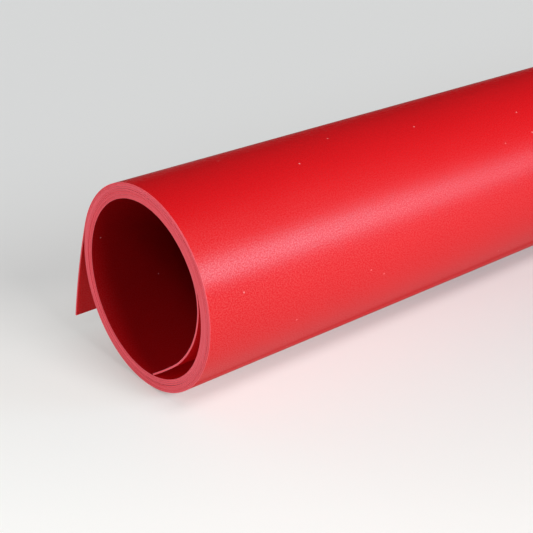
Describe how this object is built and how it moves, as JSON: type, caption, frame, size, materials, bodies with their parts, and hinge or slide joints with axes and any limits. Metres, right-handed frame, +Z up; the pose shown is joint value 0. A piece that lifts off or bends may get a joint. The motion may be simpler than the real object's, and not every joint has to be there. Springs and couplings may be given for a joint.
{
  "type": "rolled backdrop sheet",
  "caption": "Coreless roll of matte red PVC backdrop sheet, lying on its side, with a loose outer flap and a loose inner end that curls inside the hollow.",
  "frame": {"origin": "on the roll's axis, half way along the roll", "axes": "+X along the roll's axis, +Z up from the line that the roll rests on, so the unrolled sheet runs towards -Y and the outer free end hangs on the +Y side"},
  "size_m": [1, 0.0987, 0.0872],
  "materials": {
    "pvc_sheet": "matte, with a very fine grain; cut edges paler and pinkish"
  },
  "bodies": {
    "tail_1": {"tail_1": "pvc_sheet"},
    "tail_2": {"tail_2": "pvc_sheet"},
    "tail_3": {"tail_3": "pvc_sheet"},
    "tail_4": {"tail_4": "pvc_sheet"},
    "turn_1": {"turn_1": "pvc_sheet"},
    "turn_2": {"turn_2": "pvc_sheet"},
    "turn_3": {"turn_3": "pvc_sheet"},
    "turn_4": {"turn_4": "pvc_sheet"},
    "turn_5": {"turn_5": "pvc_sheet"},
    "turn_6": {"turn_6": "pvc_sheet"},
    "unroll_01": {"unroll_01": "pvc_sheet"},
    "unroll_02": {"unroll_02": "pvc_sheet"},
    "unroll_03": {"unroll_03": "pvc_sheet"},
    "unroll_04": {"unroll_04": "pvc_sheet"},
    "unroll_05": {"unroll_05": "pvc_sheet"},
    "unroll_06": {"unroll_06": "pvc_sheet"},
    "unroll_07": {"unroll_07": "pvc_sheet"},
    "unroll_08": {"unroll_08": "pvc_sheet"},
    "unroll_09": {"unroll_09": "pvc_sheet"},
    "unroll_10": {"unroll_10": "pvc_sheet"},
    "unroll_11": {"unroll_11": "pvc_sheet"},
    "unroll_12": {"unroll_12": "pvc_sheet"},
    "unroll_13": {"unroll_13": "pvc_sheet"},
    "unroll_14": {"unroll_14": "pvc_sheet"},
    "unroll_15": {"unroll_15": "pvc_sheet"},
    "unroll_16": {"unroll_16": "pvc_sheet"},
    "unroll_17": {"unroll_17": "pvc_sheet"},
    "unroll_18": {"unroll_18": "pvc_sheet"},
    "unroll_19": {"unroll_19": "pvc_sheet"},
    "unroll_20": {"unroll_20": "pvc_sheet"},
    "unroll_21": {"unroll_21": "pvc_sheet"},
    "flap_1": {"flap_1": "pvc_sheet"},
    "flap_2": {"flap_2": "pvc_sheet"},
    "flap_3": {"flap_3": "pvc_sheet"}
  },
  "joints": [
    {"name": "unroll_bend_01", "type": "hinge", "parent": "turn_6", "child": "unroll_01", "pos_m": [0, 0, -0.04342], "axis": [1, 0, 0], "range_deg": [0, 5.75], "stiffness_Nm_per_rad": 0.02},
    {"name": "unroll_bend_02", "type": "hinge", "parent": "unroll_01", "child": "unroll_02", "pos_m": [0, -0.00907, -0.04246], "axis": [1, 0, 0], "range_deg": [0, 12], "stiffness_Nm_per_rad": 0.02},
    {"name": "unroll_bend_03", "type": "hinge", "parent": "unroll_02", "child": "unroll_03", "pos_m": [0, -0.01774, -0.03965], "axis": [1, 0, 0], "range_deg": [0, 12], "stiffness_Nm_per_rad": 0.02},
    {"name": "unroll_bend_04", "type": "hinge", "parent": "unroll_03", "child": "unroll_04", "pos_m": [0, -0.02564, -0.03509], "axis": [1, 0, 0], "range_deg": [0, 12], "stiffness_Nm_per_rad": 0.02},
    {"name": "unroll_bend_05", "type": "hinge", "parent": "unroll_04", "child": "unroll_05", "pos_m": [0, -0.03242, -0.02898], "axis": [1, 0, 0], "range_deg": [0, 12], "stiffness_Nm_per_rad": 0.02},
    {"name": "unroll_bend_06", "type": "hinge", "parent": "unroll_05", "child": "unroll_06", "pos_m": [0, -0.03778, -0.02161], "axis": [1, 0, 0], "range_deg": [0, 12], "stiffness_Nm_per_rad": 0.02},
    {"name": "unroll_bend_07", "type": "hinge", "parent": "unroll_06", "child": "unroll_07", "pos_m": [0, -0.04149, -0.01328], "axis": [1, 0, 0], "range_deg": [0, 12], "stiffness_Nm_per_rad": 0.02},
    {"name": "unroll_bend_08", "type": "hinge", "parent": "unroll_07", "child": "unroll_08", "pos_m": [0, -0.04338, -0.00436], "axis": [1, 0, 0], "range_deg": [0, 12], "stiffness_Nm_per_rad": 0.02},
    {"name": "unroll_bend_09", "type": "hinge", "parent": "unroll_08", "child": "unroll_09", "pos_m": [0, -0.04338, 0.00476], "axis": [1, 0, 0], "range_deg": [0, 12], "stiffness_Nm_per_rad": 0.02},
    {"name": "unroll_bend_10", "type": "hinge", "parent": "unroll_09", "child": "unroll_10", "pos_m": [0, -0.04149, 0.01368], "axis": [1, 0, 0], "range_deg": [0, 12], "stiffness_Nm_per_rad": 0.02},
    {"name": "unroll_bend_11", "type": "hinge", "parent": "unroll_10", "child": "unroll_11", "pos_m": [0, -0.03778, 0.02201], "axis": [1, 0, 0], "range_deg": [0, 12], "stiffness_Nm_per_rad": 0.02},
    {"name": "unroll_bend_12", "type": "hinge", "parent": "unroll_11", "child": "unroll_12", "pos_m": [0, -0.03242, 0.02939], "axis": [1, 0, 0], "range_deg": [0, 12], "stiffness_Nm_per_rad": 0.02},
    {"name": "unroll_bend_13", "type": "hinge", "parent": "unroll_12", "child": "unroll_13", "pos_m": [0, -0.02564, 0.03549], "axis": [1, 0, 0], "range_deg": [0, 12], "stiffness_Nm_per_rad": 0.02},
    {"name": "unroll_bend_14", "type": "hinge", "parent": "unroll_13", "child": "unroll_14", "pos_m": [0, -0.01774, 0.04005], "axis": [1, 0, 0], "range_deg": [0, 12], "stiffness_Nm_per_rad": 0.02},
    {"name": "unroll_bend_15", "type": "hinge", "parent": "unroll_14", "child": "unroll_15", "pos_m": [0, -0.00907, 0.04287], "axis": [1, 0, 0], "range_deg": [0, 12], "stiffness_Nm_per_rad": 0.02},
    {"name": "unroll_bend_16", "type": "hinge", "parent": "unroll_15", "child": "unroll_16", "pos_m": [0, 0, 0.04382], "axis": [1, 0, 0], "range_deg": [0, 12], "stiffness_Nm_per_rad": 0.02},
    {"name": "unroll_bend_17", "type": "hinge", "parent": "unroll_16", "child": "unroll_17", "pos_m": [0, 0.00884, 0.04293], "axis": [1, 0, 0], "range_deg": [0, 12], "stiffness_Nm_per_rad": 0.02},
    {"name": "unroll_bend_18", "type": "hinge", "parent": "unroll_17", "child": "unroll_18", "pos_m": [0, 0.01732, 0.04027], "axis": [1, 0, 0], "range_deg": [0, 12], "stiffness_Nm_per_rad": 0.02},
    {"name": "unroll_bend_19", "type": "hinge", "parent": "unroll_18", "child": "unroll_19", "pos_m": [0, 0.02509, 0.03597], "axis": [1, 0, 0], "range_deg": [0, 12], "stiffness_Nm_per_rad": 0.02},
    {"name": "unroll_bend_20", "type": "hinge", "parent": "unroll_19", "child": "unroll_20", "pos_m": [0, 0.03185, 0.0302], "axis": [1, 0, 0], "range_deg": [0, 12], "stiffness_Nm_per_rad": 0.02},
    {"name": "unroll_bend_21", "type": "hinge", "parent": "unroll_20", "child": "unroll_21", "pos_m": [0, 0.0373, 0.02318], "axis": [1, 0, 0], "range_deg": [0, 12], "stiffness_Nm_per_rad": 0.02},
    {"name": "flap_bend_1", "type": "hinge", "parent": "unroll_21", "child": "flap_1", "pos_m": [0, 0.0447, 0.0031], "axis": [-1, 0, 0], "range_deg": [0, 14], "stiffness_Nm_per_rad": 0.06},
    {"name": "flap_bend_2", "type": "hinge", "parent": "flap_1", "child": "flap_2", "pos_m": [0, 0.0484, -0.0089], "axis": [-1, 0, 0], "range_deg": [0, 14], "stiffness_Nm_per_rad": 0.06},
    {"name": "flap_bend_3", "type": "hinge", "parent": "flap_2", "child": "flap_3", "pos_m": [0, 0.05162, -0.02104], "axis": [-1, 0, 0], "range_deg": [0, 14], "stiffness_Nm_per_rad": 0.06},
    {"name": "telescope_5", "type": "slide", "parent": "turn_6", "child": "turn_5", "axis": [1, 0, 0], "range_m": [-0.008, 0.008]},
    {"name": "telescope_4", "type": "slide", "parent": "turn_5", "child": "turn_4", "axis": [1, 0, 0], "range_m": [-0.008, 0.008]},
    {"name": "telescope_3", "type": "slide", "parent": "turn_4", "child": "turn_3", "axis": [1, 0, 0], "range_m": [-0.008, 0.008]},
    {"name": "telescope_2", "type": "slide", "parent": "turn_3", "child": "turn_2", "axis": [1, 0, 0], "range_m": [-0.008, 0.008]},
    {"name": "telescope_1", "type": "slide", "parent": "turn_2", "child": "turn_1", "axis": [1, 0, 0], "range_m": [-0.008, 0.008]},
    {"name": "tail_bend_1", "type": "hinge", "parent": "turn_1", "child": "tail_1", "pos_m": [0, -0.03222, 0.0188], "axis": [1, 0, 0], "range_deg": [0, 15], "stiffness_Nm_per_rad": 0.06},
    {"name": "tail_bend_2", "type": "hinge", "parent": "tail_1", "child": "tail_2", "pos_m": [0, -0.03568, 0.00219], "axis": [1, 0, 0], "range_deg": [0, 15], "stiffness_Nm_per_rad": 0.06},
    {"name": "tail_bend_3", "type": "hinge", "parent": "tail_2", "child": "tail_3", "pos_m": [0, -0.02999, -0.01403], "axis": [1, 0, 0], "range_deg": [0, 15], "stiffness_Nm_per_rad": 0.06},
    {"name": "tail_bend_4", "type": "hinge", "parent": "tail_3", "child": "tail_4", "pos_m": [0, -0.01834, -0.02679], "axis": [1, 0, 0], "range_deg": [0, 15], "stiffness_Nm_per_rad": 0.06}
  ],
  "couplings": [
    {"joint": "unroll_bend_02", "follows": "unroll_bend_01", "ratio": 2},
    {"joint": "unroll_bend_03", "follows": "unroll_bend_01", "ratio": 2},
    {"joint": "unroll_bend_04", "follows": "unroll_bend_01", "ratio": 2},
    {"joint": "unroll_bend_05", "follows": "unroll_bend_01", "ratio": 2},
    {"joint": "unroll_bend_06", "follows": "unroll_bend_01", "ratio": 2},
    {"joint": "unroll_bend_07", "follows": "unroll_bend_01", "ratio": 2},
    {"joint": "unroll_bend_08", "follows": "unroll_bend_01", "ratio": 2},
    {"joint": "unroll_bend_09", "follows": "unroll_bend_01", "ratio": 2},
    {"joint": "unroll_bend_10", "follows": "unroll_bend_01", "ratio": 2},
    {"joint": "unroll_bend_11", "follows": "unroll_bend_01", "ratio": 2},
    {"joint": "unroll_bend_12", "follows": "unroll_bend_01", "ratio": 2},
    {"joint": "unroll_bend_13", "follows": "unroll_bend_01", "ratio": 2},
    {"joint": "unroll_bend_14", "follows": "unroll_bend_01", "ratio": 2},
    {"joint": "unroll_bend_15", "follows": "unroll_bend_01", "ratio": 2},
    {"joint": "unroll_bend_16", "follows": "unroll_bend_01", "ratio": 1.9306},
    {"joint": "unroll_bend_17", "follows": "unroll_bend_01", "ratio": 1.9306},
    {"joint": "unroll_bend_18", "follows": "unroll_bend_01", "ratio": 1.9306},
    {"joint": "unroll_bend_19", "follows": "unroll_bend_01", "ratio": 1.9306},
    {"joint": "unroll_bend_20", "follows": "unroll_bend_01", "ratio": 1.9306},
    {"joint": "unroll_bend_21", "follows": "unroll_bend_01", "ratio": 1.9306},
    {"joint": "flap_bend_2", "follows": "flap_bend_1", "ratio": 1},
    {"joint": "flap_bend_3", "follows": "flap_bend_1", "ratio": 1},
    {"joint": "telescope_4", "follows": "telescope_5", "ratio": 1},
    {"joint": "telescope_3", "follows": "telescope_5", "ratio": 1},
    {"joint": "telescope_2", "follows": "telescope_5", "ratio": 1},
    {"joint": "telescope_1", "follows": "telescope_5", "ratio": 1},
    {"joint": "tail_bend_2", "follows": "tail_bend_1", "ratio": 1},
    {"joint": "tail_bend_3", "follows": "tail_bend_1", "ratio": 1},
    {"joint": "tail_bend_4", "follows": "tail_bend_1", "ratio": 1}
  ]
}
